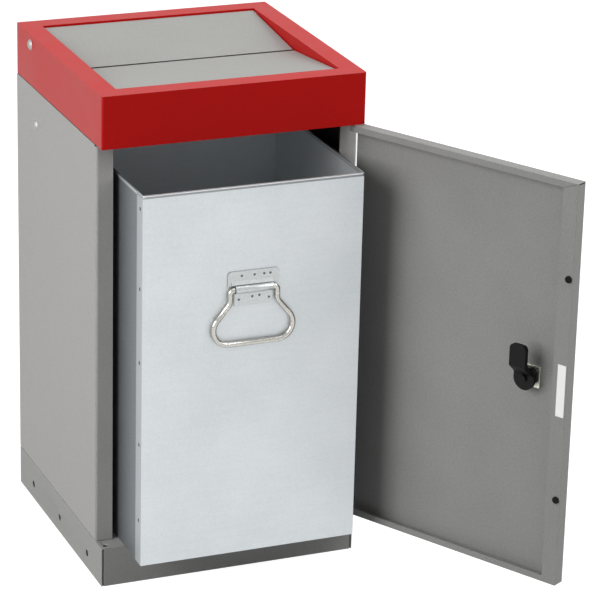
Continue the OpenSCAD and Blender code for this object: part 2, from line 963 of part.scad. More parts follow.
plinth();
floor_screws();
body_shell();
top_frame();
lid_frame();
frame_bolts();
frame_nuts();
hinge_rods();
rod_bushes();
rod_caps();
front_flap();
front_knuckles();
front_springs();
rear_flap();
rear_knuckles();
rear_springs();
door_panel();
door_returns();
hinge_blocks();
door_pins();
hinge_washers();
lock_housing();
lock_plate();
lock_nut();
door_buffers();
door_label();
lock_core();
lock_cam();
cam_screw();
container_wrap();
container_front();
container_base();
handle_plate();
handle_bail();
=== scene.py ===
"""Looks of an open sheet-metal recycling bin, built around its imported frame.

The bin is a square cabinet on a plinth tray, with a red drop-in lid, two sprung
flaps, a side-hung door and a zinc-coated container pulled part of the way out.
Lengths are in metres, or in millimetres where a name ends in mm. All places are in
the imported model's own frame.
"""

from __future__ import annotations

import logging
import math
from abc import ABC, abstractmethod
from dataclasses import dataclass
from enum import Enum

import bmesh
import bpy
import numpy as np
from mathutils import Matrix, Vector


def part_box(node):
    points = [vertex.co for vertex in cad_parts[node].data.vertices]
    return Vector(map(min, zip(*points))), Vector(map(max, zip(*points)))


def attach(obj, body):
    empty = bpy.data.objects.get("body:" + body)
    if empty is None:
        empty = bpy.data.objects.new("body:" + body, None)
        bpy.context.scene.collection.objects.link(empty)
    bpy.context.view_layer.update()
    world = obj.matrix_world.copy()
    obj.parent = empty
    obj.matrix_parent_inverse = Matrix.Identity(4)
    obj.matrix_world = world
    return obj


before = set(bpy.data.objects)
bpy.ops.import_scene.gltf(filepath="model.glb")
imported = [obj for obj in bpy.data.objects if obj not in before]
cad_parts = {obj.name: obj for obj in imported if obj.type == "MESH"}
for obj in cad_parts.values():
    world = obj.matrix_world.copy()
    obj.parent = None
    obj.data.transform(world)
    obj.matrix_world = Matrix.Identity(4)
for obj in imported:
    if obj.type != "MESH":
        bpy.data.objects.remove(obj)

LOG = logging.getLogger("bin")
MM = 0.001
# Points nearer to each other than this are merged.
MERGE = 0.0005 * MM
# Width of the picture in pixels.
IMAGE_PX = 600
WHITE = (1.0, 1.0, 1.0, 1.0)
# How many layers, each finer than the last, make up a noise.
FEW_LAYERS = 2.0
SOME_LAYERS = 3.0
MANY_LAYERS = 4.0

# Points and faces of a shape.
Shape = tuple[np.ndarray, np.ndarray]


class Axis(Enum):
    """Level directions that a revolved piece can point along."""

    LEFT = (-1.0, 0.0, 0.0)
    RIGHT = (1.0, 0.0, 0.0)
    FRONT = (0.0, -1.0, 0.0)


def linear(code: str) -> tuple[float, float, float, float]:
    """Turns an sRGB hex colour to linear light, by the sRGB standard's own formula.

    Args:
        code: Six hex digits with a leading hash sign.

    Returns:
        Linear red, green, blue and an alpha of one.
    """
    parts = [int(code[i : i + 2], 16) / 255 for i in (1, 3, 5)]
    lin = [c / 12.92 if c <= 0.04045 else ((c + 0.055) / 1.055) ** 2.4 for c in parts]
    return (lin[0], lin[1], lin[2], 1.0)


def per_metre(size_mm: float) -> float:
    """Turns the size of a pattern's grain in millimetres to the scale of its noise."""
    return 1 / (size_mm * MM)


def wire(tree: bpy.types.NodeTree, node: bpy.types.Node, **links) -> None:
    """Sets or links the sockets of a shader node.

    Args:
        tree: The node tree that holds the node.
        node: The node to feed.
        **links: Socket names, with underscores for spaces, or the letter i and the
            socket's number, each with an output socket to link from or a plain
            value to set.
    """
    for name, value in links.items():
        key = int(name[1:]) if name[0] == "i" and name[1:].isdigit() else name.replace("_", " ")
        if isinstance(value, bpy.types.NodeSocket):
            tree.links.new(value, node.inputs[key])
        else:
            node.inputs[key].default_value = value


def add(tree: bpy.types.NodeTree, kind: str, sets: dict | None = None,
        stops: tuple[tuple[float, str], ...] = (), **links) -> bpy.types.Node:
    """Adds one shader node with its settings, values and links.

    Args:
        tree: The node tree to add to.
        kind: The node's type name without its ShaderNode prefix.
        sets: Attribute names and values set on the node itself.
        stops: A colour ramp's two places, each with its hex colour.
        **links: What feeds the node's sockets, as wire takes it.

    Returns:
        The new node.
    """
    made = tree.nodes.new("ShaderNode" + kind)
    for name, value in (sets or {}).items():
        setattr(made, name, value)
    for index, (place, code) in enumerate(stops):
        made.color_ramp.elements[index].position = place
        made.color_ramp.elements[index].color = linear(code)
    wire(tree, made, **links)
    return made


@dataclass(frozen=True)
class Finish(ABC):
    """A named surface of two near colours; each kind of surface adds its own nodes.

    Attributes:
        name: What the real surface is.
        tint: Its lighter colour.
        shade: Its darker colour.
        ramp: The pattern's values at which the shade ends and the tint starts.
        rough: Its roughness.
        relief: Strength of its bumps.
        relief_depth: Depth of its bumps.
    """

    name: str
    tint: str
    shade: str
    ramp: tuple[float, float] = (0.35, 0.6)
    rough: float = 0.5
    relief: float = 0.1
    relief_depth: float = 0.1 * MM

    def material(self) -> bpy.types.Material:
        """Makes the Blender material, or finds the one already made.

        Returns:
            The material.
        """
        old = bpy.data.materials.get(self.name)
        if old is not None:
            return old
        mat = bpy.data.materials.new(self.name)
        mat.use_nodes = True
        tree = mat.node_tree
        shader = tree.nodes["Principled BSDF"]
        place = add(tree, "TexCoord").outputs["Object"]
        self.build(tree, shader, place)
        return mat

    def stops(self) -> tuple[tuple[float, str], ...]:
        """The two places of this finish's colour ramp, each with its colour."""
        return tuple(zip(self.ramp, (self.shade, self.tint)))

    @abstractmethod
    def build(self, tree: bpy.types.NodeTree, shader: bpy.types.Node,
              place: bpy.types.NodeSocket) -> None:
        """Adds this finish's own nodes.

        Args:
            tree: The node tree to add to.
            shader: The surface shader that they feed.
            place: The place on the object.
        """


@dataclass(frozen=True)
class PowderCoat(Finish):
    """Polyester powder baked on steel: fine orange peel with a slight colour grain.

    Real orange peel is near 0.5 mm across. It is drawn at about grain_mm so that it
    shows from the distance of the photograph.

    Attributes:
        grain_mm: Size of the colour grain.
        grain_keep: Share that each finer layer of the grain keeps.
        cloud_mm: Size of the slow changes over a panel.
        cloud_share: Share of the slow changes in the colour.
        peel_ratio: Fineness of the orange peel against the colour grain.
        spread: The slow changes' values at which the roughness is least and most.
        drift: How far the roughness goes to either side of its mean.
        gloss: How strongly the powder mirrors.
        ior: Refractive index of the powder.
        coat: Weight of the smooth skin that gives a lit flange its glare.
        coat_ior: Refractive index of that skin.
    """

    ramp: tuple[float, float] = (0.36, 0.62)
    relief: float = 0.12
    relief_depth: float = 0.2 * MM
    grain_mm: float = 1.6
    grain_keep: float = 0.65
    cloud_mm: float = 71.4
    cloud_share: float = 0.22
    peel_ratio: float = 0.7
    spread: tuple[float, float] = (0.3, 0.7)
    drift: float = 0.04
    gloss: float = 0.15
    ior: float = 1.5
    coat: float = 0.0
    coat_ior: float = 1.25

    def build(self, tree: bpy.types.NodeTree, shader: bpy.types.Node,
              place: bpy.types.NodeSocket) -> None:
        """Adds a colour grain, orange peel and a soft gloss that varies over the panel.

        Args:
            tree: The node tree to add to.
            shader: The surface shader that they feed.
            place: The place on the object.
        """
        grain = add(tree, "TexNoise", Vector=place, Scale=per_metre(self.grain_mm),
                    Detail=SOME_LAYERS, Roughness=self.grain_keep)
        cloud = add(tree, "TexNoise", Vector=place, Scale=per_metre(self.cloud_mm),
                    Detail=FEW_LAYERS)
        mixed = add(tree, "Mix", {"data_type": "FLOAT"}, Factor=self.cloud_share,
                    i2=grain.outputs["Fac"], i3=cloud.outputs["Fac"])
        colour = add(tree, "ValToRGB", stops=self.stops(), Fac=mixed.outputs[0])
        peel = add(tree, "TexNoise", Vector=place,
                   Scale=self.peel_ratio * per_metre(self.grain_mm), Detail=FEW_LAYERS)
        bump = add(tree, "Bump", Strength=self.relief, Distance=self.relief_depth,
                   Height=peel.outputs["Fac"])
        satin = add(tree, "MapRange", Value=cloud.outputs["Fac"],
                    From_Min=self.spread[0], From_Max=self.spread[1],
                    To_Min=self.rough - self.drift, To_Max=self.rough + self.drift)
        wire(tree, shader, Base_Color=colour.outputs["Color"], Normal=bump.outputs["Normal"],
             Roughness=satin.outputs["Result"], Specular_IOR_Level=self.gloss, IOR=self.ior,
             Coat_Weight=self.coat, Coat_IOR=self.coat_ior, Coat_Roughness=self.rough)


@dataclass(frozen=True)
class ZincSheet(Finish):
    """Hot-dip zinc-coated sheet: fine frosted spangle with faint level rolling lines.

    Minimised spangle is about 1 mm across. It is drawn at spangle_mm so that it shows.

    Attributes:
        metal: How far the zinc has kept its metallic look.
        spangle_mm: Size of the spangle.
        spangle_keep: Share that each finer layer of the spangle keeps.
        rolling_mm: Distance between rolling lines.
        rolling_stretch: Their scale along the sheet against that across it.
        rolling_share: Share of the rolling lines in the fine pattern.
        cloud_mm: Size of the slow changes over a sheet.
        cloud_share: Share of the slow changes in the colour.
        spread: The spangle's values at which the roughness is least and most.
        rough_fall: How far the roughness goes below its mean.
        rough_rise: How far it goes above its mean.
    """

    ramp: tuple[float, float] = (0.38, 0.6)
    relief_depth: float = 0.15 * MM
    metal: float = 0.9
    spangle_mm: float = 2.2
    spangle_keep: float = 0.7
    rolling_mm: float = 3.0
    rolling_stretch: float = 0.05
    rolling_share: float = 0.16
    cloud_mm: float = 111.1
    cloud_share: float = 0.3
    spread: tuple[float, float] = (0.35, 0.65)
    rough_fall: float = 0.06
    rough_rise: float = 0.08

    def build(self, tree: bpy.types.NodeTree, shader: bpy.types.Node,
              place: bpy.types.NodeSocket) -> None:
        """Adds frosted grain, soft rolling lines and clouded reflection on a dulled metal.

        Args:
            tree: The node tree to add to.
            shader: The surface shader that they feed.
            place: The place on the object.
        """
        frost = add(tree, "TexNoise", Vector=place, Scale=per_metre(self.spangle_mm),
                    Detail=MANY_LAYERS, Roughness=self.spangle_keep)
        lay = add(tree, "Mapping", Vector=place,
                  Scale=(self.rolling_stretch, self.rolling_stretch, 1.0))
        lines = add(tree, "TexNoise", Vector=lay.outputs["Vector"],
                    Scale=per_metre(self.rolling_mm), Detail=FEW_LAYERS)
        cloud = add(tree, "TexNoise", Vector=place, Scale=per_metre(self.cloud_mm),
                    Detail=SOME_LAYERS)
        fine = add(tree, "Mix", {"data_type": "FLOAT"}, Factor=self.rolling_share,
                   i2=frost.outputs["Fac"], i3=lines.outputs["Fac"])
        mixed = add(tree, "Mix", {"data_type": "FLOAT"}, Factor=self.cloud_share,
                    i2=fine.outputs[0], i3=cloud.outputs["Fac"])
        colour = add(tree, "ValToRGB", stops=self.stops(), Fac=mixed.outputs[0])
        shaded_colour = self.paint_shade(tree, place, colour.outputs["Color"])
        gloss = add(tree, "MapRange", Value=frost.outputs["Fac"],
                    From_Min=self.spread[0], From_Max=self.spread[1],
                    To_Min=self.rough - self.rough_fall, To_Max=self.rough + self.rough_rise)
        bump = add(tree, "Bump", Strength=self.relief, Distance=self.relief_depth,
                   Height=fine.outputs[0])
        wire(tree, shader, Base_Color=shaded_colour, Roughness=gloss.outputs["Result"],
             Normal=bump.outputs["Normal"], Metallic=self.metal)

    def paint_shade(self, tree: bpy.types.NodeTree, place: bpy.types.NodeSocket,
              colour: bpy.types.NodeSocket) -> bpy.types.NodeSocket:
        """Paints shade into the sheet's colour; a plain sheet has none.

        Args:
            tree: The node tree to add to.
            place: The place on the object.
            colour: The colour of the sheet elsewhere.

        Returns:
            The socket of the sheet's colour.
        """
        return colour


@dataclass(frozen=True, kw_only=True)
class ShadedZinc(ZincSheet):
    """Zinc-coated sheet of a formed part with painted shade: darker side faces, and a band of its
    own along the hem.

    The places are measured from the part's own box, so the finish fits one node.

    Attributes:
        node: The CAD node that the finish fits.
        flank_depth: How far in from the box's sides a face still gets the side shade.
        side_shade: Colour of the side faces, a painted shade.
        hem: Colour of the strip along the hem, a painted band: shade under the fold, and lighter
            than the side shade where it crosses the side faces.
        hem_from: Distance from the top to the strip's upper edge.
        hem_to: Distance from the top to the strip's lower edge.
    """

    node: str
    # Painted shade: the colour of the side faces, and the band along the hem.
    side_shade: str
    hem: str
    flank_depth: float = 0.4 * MM
    hem_from: float = 0.9 * MM
    hem_to: float = 4.5 * MM

    def paint_shade(self, tree: bpy.types.NodeTree, place: bpy.types.NodeSocket,
              colour: bpy.types.NodeSocket) -> bpy.types.NodeSocket:
        """Mixes the painted shade of the side faces and the painted band along the hem into the
        colour.

        Args:
            tree: The node tree to add to.
            place: The place on the object.
            colour: The colour of the sheet elsewhere.

        Returns:
            The socket of the mixed colour.
        """
        low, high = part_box(self.node)
        parts = add(tree, "SeparateXYZ", Vector=place)
        between = add(tree, "Math", {"operation": "COMPARE"}, i0=parts.outputs["X"],
                      i1=(low[0] + high[0]) / 2,
                      i2=(high[0] - low[0]) / 2 - self.flank_depth)
        sides = add(tree, "Mix", {"data_type": "RGBA"}, i0=between.outputs[0],
                    i6=linear(self.side_shade), i7=colour)
        strip = add(tree, "Math", {"operation": "COMPARE"}, i0=parts.outputs["Z"],
                    i1=high[2] - (self.hem_from + self.hem_to) / 2,
                    i2=(self.hem_to - self.hem_from) / 2)
        mixed = add(tree, "Mix", {"data_type": "RGBA"}, i0=strip.outputs[0],
                    i6=sides.outputs[2], i7=linear(self.hem))
        return mixed.outputs[2]


@dataclass(frozen=True)
class PlatedSteel(Finish):
    """Steel with a thin skin of plating or oil, mottled by faint drawing marks.

    Attributes:
        mark_mm: Size of the marks.
        spread: The marks' values at which the roughness is least and most.
        rough_rise: How far the roughness goes above its least.
    """

    ramp: tuple[float, float] = (0.3, 0.6)
    relief: float = 0.06
    mark_mm: float = 1.2
    spread: tuple[float, float] = (0.3, 0.7)
    rough_rise: float = 0.12

    def build(self, tree: bpy.types.NodeTree, shader: bpy.types.Node,
              place: bpy.types.NodeSocket) -> None:
        """Adds a faint mottling in colour, gloss and surface over the metal.

        Args:
            tree: The node tree to add to.
            shader: The surface shader that they feed.
            place: The place on the object.
        """
        marks = add(tree, "TexNoise", Vector=place, Scale=per_metre(self.mark_mm),
                    Detail=SOME_LAYERS)
        colour = add(tree, "ValToRGB", stops=self.stops(), Fac=marks.outputs["Fac"])
        gloss = add(tree, "MapRange", Value=marks.outputs["Fac"],
                    From_Min=self.spread[0], From_Max=self.spread[1],
                    To_Min=self.rough, To_Max=self.rough + self.rough_rise)
        bump = add(tree, "Bump", Strength=self.relief, Distance=self.relief_depth,
                   Height=marks.outputs["Fac"])
        wire(tree, shader, Base_Color=colour.outputs["Color"], Metallic=1.0,
             Roughness=gloss.outputs["Result"], Normal=bump.outputs["Normal"])


@dataclass(frozen=True)
class Moulded(Finish):
    """Moulded nylon, rubber, cast black or film: an even colour with a very fine grain.

    Attributes:
        grain_mm: Size of the grain.
        gloss: How strongly the surface mirrors.
        ior: Its refractive index.
    """

    grain_mm: float = 0.8
    gloss: float = 0.5
    ior: float = 1.5

    def build(self, tree: bpy.types.NodeTree, shader: bpy.types.Node,
              place: bpy.types.NodeSocket) -> None:
        """Adds a faint grain in colour and surface.

        Args:
            tree: The node tree to add to.
            shader: The surface shader that they feed.
            place: The place on the object.
        """
        grain = add(tree, "TexNoise", Vector=place, Scale=per_metre(self.grain_mm),
                    Detail=FEW_LAYERS)
        colour = add(tree, "ValToRGB", stops=self.stops(), Fac=grain.outputs["Fac"])
        bump = add(tree, "Bump", Strength=self.relief, Distance=self.relief_depth,
                   Height=grain.outputs["Fac"])
        wire(tree, shader, Base_Color=colour.outputs["Color"], Normal=bump.outputs["Normal"],
             Roughness=self.rough, Specular_IOR_Level=self.gloss, IOR=self.ior)


# Satin signal red powder coat: warm, even, a wide soft glare on the flat top flange.
RED_COAT = PowderCoat("red_powder_coat", "#B80D09", shade="#AD0B07", rough=0.38, relief=0.1,
                      gloss=0.05, coat=0.45)
# Silver-grey powder coat of the walls: fine metallic grain, hardly any gloss.
WALL_COAT = PowderCoat("wall_silver_powder_coat", "#ADACAA", shade="#9E9D9B")
# The same coat on the plinth tray, the door and the flaps, each tinted a little darker than the
# walls as painted shade.
PLINTH_COAT = PowderCoat("plinth_silver_powder_coat", "#9F9F9C", shade="#92928F")
DOOR_COAT = PowderCoat("door_silver_powder_coat", "#969694", shade="#898987")
FLAP_COAT = PowderCoat("flap_silver_powder_coat", "#A1A19E", shade="#949491", rough=0.46)
# Hot-dip zinc sheet of the container's wrap: pale, cool and frosted; its tint, lighter than the
# front's, is painted light for the dim inside, its side faces are darkened as painted shade, and
# its hem carries a painted band.
ZINC_WRAP = ShadedZinc("zinc_coated_wrap_sheet", "#E6EAED", shade="#DCE1E4", metal=0.8,
                       node="container_wrap", flank_depth=2.0 * MM, side_shade="#84888C",
                       hem="#C2C6C8")
# The same kind of sheet on the container's base and front, each a little darker.
ZINC_BASE = ZincSheet("zinc_coated_base_sheet", "#C6CBCE", shade="#B0B6B9")
# The front's lap faces and the band under its hem are painted shade.
ZINC_FRONT = ShadedZinc("zinc_coated_front_sheet", "#D0D4D6", shade="#C2C7CA",
                        node="container_front", side_shade="#B3B7B9", hem="#A6A9AA")
# Dark sheet of the hidden header frame, a painted shade: it makes the lid's seam read as a dark
# line.
FRAME_SHADE_SHEET = PlatedSteel("frame_sheet_painted_shade", "#4A4B4C", shade="#3A3B3C")
# Bright nickel over steel wire: nearly neutral, mirror-like along the bends.
NICKEL = PlatedSteel("nickel_plated_wire", "#C2C0BA", shade="#9C9A95", rough=0.1)
# Zinc-coated plate of the handle, smoother than the sheet behind it.
HANDLE_PLATE = ZincSheet("handle_plate_zinc", "#C4C7C8", shade="#AEB2B3", rough=0.34)
# The lock's backing plate: pale, slightly yellow, half dull.
LOCK_PLATE = ZincSheet("lock_plate_zinc", "#E0DFD2", shade="#CFCDBF", rough=0.4)
# Electroplated zinc on bolts and rods: bright and slightly yellow.
BOLT_ZINC = PlatedSteel("bolt_zinc_plate", "#D8D6D0", shade="#B4B2AC", rough=0.34)
# The same plating gone dull on the domed heads outside: grey with a soft middle glare.
BOLT_DULL = PlatedSteel("dull_zinc_bolt_head", "#ABAAA7", shade="#8E8D8A", rough=0.48)
# Oiled spring steel: dark, half gloss.
SPRING_STEEL = PlatedSteel("oiled_spring_steel", "#77756F", shade="#55534E", rough=0.3)
# Zinc burnt off by a spot weld: dull grey spots, duller still on the thick handle plates.
LAP_WELD = PlatedSteel("burnt_spot_weld", "#6A6E70", shade="#4A4D4F")
PLATE_WELD = PlatedSteel("burnt_plate_weld", "#6E7072", shade="#4A4C4E", rough=0.55)
# Die-cast zinc painted black: satin, nearly even.
LOCK_BLACK = Moulded("black_painted_diecast", "#0B0B0B", shade="#070707", rough=0.4, gloss=0.14)
# Black rubber: dull and soft-looking.
RUBBER = Moulded("black_rubber_buffer", "#0A0A0A", shade="#060606", rough=0.6, gloss=0.12)
# Unfilled nylon: milky, slightly yellow.
NYLON = Moulded("natural_nylon", "#E8E6DE", shade="#D8D5CB", rough=0.45)
# Self-adhesive polyester film, left blank: white and smooth.
FILM = Moulded("blank_white_film", "#FCFCFC", shade="#F8F8F8", rough=0.35, grain_mm=0.6)


def mesh_piece(name: str, shape: Shape, finish: Finish, body: str) -> None:
    """Makes one closed, smooth-shaded piece from whole arrays and hangs it on its body.

    Points that meet at a pole are merged, and the faces are turned outwards.

    Args:
        name: The piece's name.
        shape: Points, one row of X, Y, Z each, and corner numbers, one row of four each.
        finish: The surface.
        body: The moving body that carries the piece.
    """
    verts, faces = shape
    mesh = bpy.data.meshes.new(name)
    mesh.from_pydata(verts.tolist(), [], faces.tolist())
    draft = bmesh.new()
    draft.from_mesh(mesh)
    bmesh.ops.remove_doubles(draft, verts=draft.verts, dist=MERGE)
    bmesh.ops.recalc_face_normals(draft, faces=draft.faces)
    draft.to_mesh(mesh)
    draft.free()
    mesh.materials.append(finish.material())
    mesh.polygons.foreach_set("use_smooth", np.ones(len(mesh.polygons), dtype=bool))
    obj = bpy.data.objects.new(name, mesh)
    bpy.context.scene.collection.objects.link(obj)
    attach(obj, body)
    LOG.info("piece %s: %d faces on %s", name, len(mesh.polygons), body)


def revolve(profile: np.ndarray, centres: np.ndarray, axis: Axis, turns: int) -> Shape:
    """Turns a profile of radius and height about a level axis, once at each centre.

    The point at angle t and profile row (r, h) is centre + r cos t level + r sin t upright
    + h axis, where level and upright are the unit directions across the axis.

    Args:
        profile: Rows of radius and height along the axis, from pole to pole.
        centres: One row of X, Y, Z for each copy.
        axis: The direction of the height.
        turns: Points round the circle.

    Returns:
        Points and four-cornered faces of all the copies.
    """
    ahead = np.array(axis.value)
    level = np.cross(ahead, (0.0, 0.0, 1.0))
    upright = np.cross(ahead, level)
    angle = np.linspace(0, 2 * math.pi, turns, endpoint=False)
    ring = np.cos(angle)[:, None] * level + np.sin(angle)[:, None] * upright
    copy = profile[:, 0, None, None] * ring + profile[:, 1, None, None] * ahead
    verts = (centres[:, None, None, :] + copy[None]).reshape(-1, 3)
    row, step = np.meshgrid(np.arange(len(profile) - 1), np.arange(turns), indexing="ij")
    here = row * turns + step
    beside = row * turns + (step + 1) % turns
    quads = np.stack([here, beside, beside + turns, here + turns], -1)
    shift = np.arange(len(centres))[:, None, None] * len(profile) * turns
    return verts, (quads.reshape(1, -1, 4) + shift).reshape(-1, 4)


def join(shapes: list[Shape]) -> Shape:
    """Puts several shapes into one.

    Args:
        shapes: Points and faces of each shape.

    Returns:
        All the points, and all the faces counted on from the points before them.
    """
    starts = np.cumsum([0] + [len(verts) for verts, _ in shapes[:-1]])
    faces = [corners + start for (_, corners), start in zip(shapes, starts)]
    return np.concatenate([verts for verts, _ in shapes]), np.concatenate(faces)


@dataclass(frozen=True)
class WeldMark:
    """A spot weld's mark on a sheet: a low ring round a shallow dimple.

    Attributes:
        radius: Radius of the mark.
        height: Height of the ring above the sheet.
        turns: Points round the mark.
        sunk: Depth of the mark's foot in the sheet.
    """

    radius: float
    height: float
    turns: int
    sunk: float = 0.5 * MM

    def profile(self) -> np.ndarray:
        """Works out the mark's closed profile.

        Each point is a share of the radius and, above the sheet, a share of the height.
        The points at -1 are the foot, which is sunk in the sheet.

        Returns:
            Rows of radius and height, from the pole below to the pole above.
        """
        shares = np.array([[0, -1], [1, -1], [1, 0], [0.85, 0.8], [0.68, 1], [0.5, 0.45],
                           [0, 0.1]])
        rise = np.where(shares[:, 1] < 0, shares[:, 1] * self.sunk, shares[:, 1] * self.height)
        return np.stack([shares[:, 0] * self.radius, rise], axis=1)

    def stamp(self, places: list[tuple[float, float, float]], axis: Axis) -> Shape:
        """Sets one mark at each place.

        Args:
            places: The marks' middles on the sheet's face.
            axis: The direction that the face looks in.

        Returns:
            Points and faces of all the marks.
        """
        return revolve(self.profile(), np.array(places), axis, self.turns)


@dataclass
class Assembly(ABC):
    """CAD nodes that share one edge softening, with the pieces added to them.

    Attributes:
        edge: Width of the softening, a fraction of a millimetre, as bent sheet has.
        edge_angle: Least angle between two faces whose edge is softened.
        edge_steps: Faces across a softened edge.
        edge_merge: Points nearer to each other than this are merged beforehand.
    """

    edge: float = 0.35 * MM
    edge_angle: float = math.radians(38)
    edge_steps: int = 2
    edge_merge: float = 0.002 * MM

    @abstractmethod
    def finishes(self) -> dict[str, Finish]:
        """The finish of each CAD node of this sub-assembly."""

    def pieces(self) -> None:
        """Adds the pieces that are not CAD solids; a plain sub-assembly has none."""

    def build(self) -> None:
        """Gives every node its finish and soft edges, then adds the pieces."""
        for name, finish in self.finishes().items():
            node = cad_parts[name]
            for place in node.material_slots:
                place.material = finish.material()
            self.soften(node)
            LOG.info("node %s: %s", name, finish.name)
        self.pieces()

    def soften(self, node: bpy.types.Object) -> None:
        """Rounds a node's hard edges.

        Args:
            node: The CAD node, whose own mesh stays as it is.
        """
        weld = node.modifiers.new("weld", "WELD")
        weld.merge_threshold = self.edge_merge
        bevel = node.modifiers.new("edges", "BEVEL")
        bevel.width = self.edge
        bevel.segments = self.edge_steps
        bevel.limit_method = "ANGLE"
        bevel.angle_limit = self.edge_angle
        bevel.harden_normals = True


@dataclass
class Plinth(Assembly):
    """The tray on the floor that carries the cabinet."""

    def finishes(self) -> dict[str, Finish]:
        """Grey coat on the tray, zinc on its screws."""
        return {"plinth": PLINTH_COAT, "floor_screws": BOLT_ZINC}


@dataclass
class Cabinet(Assembly):
    """Walls with their corner posts, the header frame inside the lid, and its fixings."""

    def finishes(self) -> dict[str, Finish]:
        """Grey walls, a dark frame as painted shade in the lid's seam, dull bolt heads and plated
        nuts.
        """
        return {"body_shell": WALL_COAT, "top_frame": FRAME_SHADE_SHEET, "frame_bolts": BOLT_DULL,
                "frame_nuts": BOLT_ZINC}


@dataclass
class Lid(Assembly):
    """The red frame with its skirts, and the rods, bushes and caps of the flaps."""

    edge: float = 0.45 * MM

    def finishes(self) -> dict[str, Finish]:
        """Red coat on the frame, plated rods and caps, nylon bushes."""
        return {"lid_frame": RED_COAT, "hinge_rods": BOLT_ZINC, "rod_bushes": NYLON,
                "rod_caps": BOLT_ZINC}


@dataclass
class Flaps(Assembly):
    """The two sprung flaps with their hinge tubes and torsion springs."""

    def finishes(self) -> dict[str, Finish]:
        """Grey coat on sheet and tubes, oiled steel springs."""
        found = {}
        for side in ("front", "rear"):
            found[f"{side}_flap"] = FLAP_COAT
            found[f"{side}_knuckles"] = FLAP_COAT
            found[f"{side}_springs"] = SPRING_STEEL
        return found


@dataclass
class Door(Assembly):
    """The folded door tray with its hinge, buffers and blank label."""

    def finishes(self) -> dict[str, Finish]:
        """Grey coat on the tray, zinc and nylon at the hinge, black buffers, white film."""
        return {"door_panel": DOOR_COAT, "door_returns": DOOR_COAT, "hinge_blocks": BOLT_ZINC,
                "door_pins": BOLT_ZINC, "hinge_washers": NYLON, "door_buffers": RUBBER,
                "door_label": FILM}


@dataclass
class Lock(Assembly):
    """The cam lock: housing, plate and nut on the door, core and cam that turn."""

    edge: float = 0.5 * MM

    def finishes(self) -> dict[str, Finish]:
        """Black die-cast lock with a plated core, on a pale zinc plate."""
        return {"lock_housing": LOCK_BLACK, "lock_plate": LOCK_PLATE, "lock_nut": LOCK_BLACK,
                "lock_core": BOLT_ZINC, "lock_cam": LOCK_BLACK, "cam_screw": LOCK_BLACK}


@dataclass
class Container(Assembly):
    """The zinc-coated container: a wrapped sheet, a lapped front and a pan base.

    Attributes:
        mark: The welds' marks on the laps.
        weld_drops_mm: Millimetres of each weld below the front's top.
        weld_setback: Distance of the welds behind the front's face.
    """

    mark: WeldMark = WeldMark(2.6 * MM, 0.25 * MM, 24)
    weld_drops_mm: tuple[float, ...] = (18.5, 120.0, 215.0, 322.0, 423.0)
    weld_setback: float = 11.5 * MM

    def finishes(self) -> dict[str, Finish]:
        """Frosted zinc on every sheet."""
        return {"container_wrap": ZINC_WRAP, "container_front": ZINC_FRONT,
                "container_base": ZINC_BASE}

    def pieces(self) -> None:
        """Spot welds down the laps that join the front to the sides."""
        low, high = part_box("container_front")
        rows = []
        for side, axis in ((low[0], Axis.LEFT), (high[0], Axis.RIGHT)):
            places = [(side, low[1] + self.weld_setback, high[2] - drop * MM)
                      for drop in self.weld_drops_mm]
            rows.append(self.mark.stamp(places, axis))
        mesh_piece("lap_spot_welds", join(rows), LAP_WELD, "container")


@dataclass
class Handle(Assembly):
    """The drop handle: two plates with a roll, and a bail of bent wire.

    Attributes:
        mark: The welds' marks on the plates.
        upper_welds_mm: Millimetres of each upper weld right of the middle and below the top.
        lower_welds_mm: The same of each lower weld.
        plate: Thickness of the plates, whose front faces carry the marks.
    """

    edge: float = 0.3 * MM
    mark: WeldMark = WeldMark(1.6 * MM, 0.12 * MM, 20)
    upper_welds_mm: tuple[tuple[float, float], ...] = (
        (-15.4, 6.0), (1.2, 6.0), (13.7, 6.0), (21.7, 6.0))
    lower_welds_mm: tuple[tuple[float, float], ...] = (
        (-18.8, 36.2), (-1.3, 33.9), (7.9, 33.2), (20.4, 37.0))
    plate: float = 1.5 * MM

    def finishes(self) -> dict[str, Finish]:
        """Zinc plates, bright plated wire."""
        return {"handle_plate": HANDLE_PLATE, "handle_bail": NICKEL}

    def pieces(self) -> None:
        """Two uneven rows of weld marks that fix the plates to the container's front."""
        low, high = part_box("handle_plate")
        middle = (low[0] + high[0]) / 2
        places = [(middle + right * MM, high[1] - self.plate, high[2] - drop * MM)
                  for right, drop in self.upper_welds_mm + self.lower_welds_mm]
        mesh_piece("plate_spot_welds", self.mark.stamp(places, Axis.FRONT), PLATE_WELD,
                   "container")


@dataclass(frozen=True)
class Lamp:
    """One soft square lamp.

    Attributes:
        name: The side of the bin that it stands on.
        place: Its middle.
        side: Its width.
        watts: Its power.
        target: The point that it is turned to, about the middle of the bin.
    """

    name: str
    place: tuple[float, float, float]
    side: float
    watts: float
    target: tuple[float, float, float] = (0.0, -0.1, 0.32)

    def build(self) -> None:
        """Adds the lamp, turned to its target."""
        light = bpy.data.lights.new(self.name, "AREA")
        light.size = self.side
        light.energy = self.watts
        lamp = bpy.data.objects.new(self.name, light)
        lamp.location = self.place
        aim = Vector(self.target) - Vector(self.place)
        lamp.rotation_euler = aim.to_track_quat("-Z", "Y").to_euler()
        bpy.context.scene.collection.objects.link(lamp)


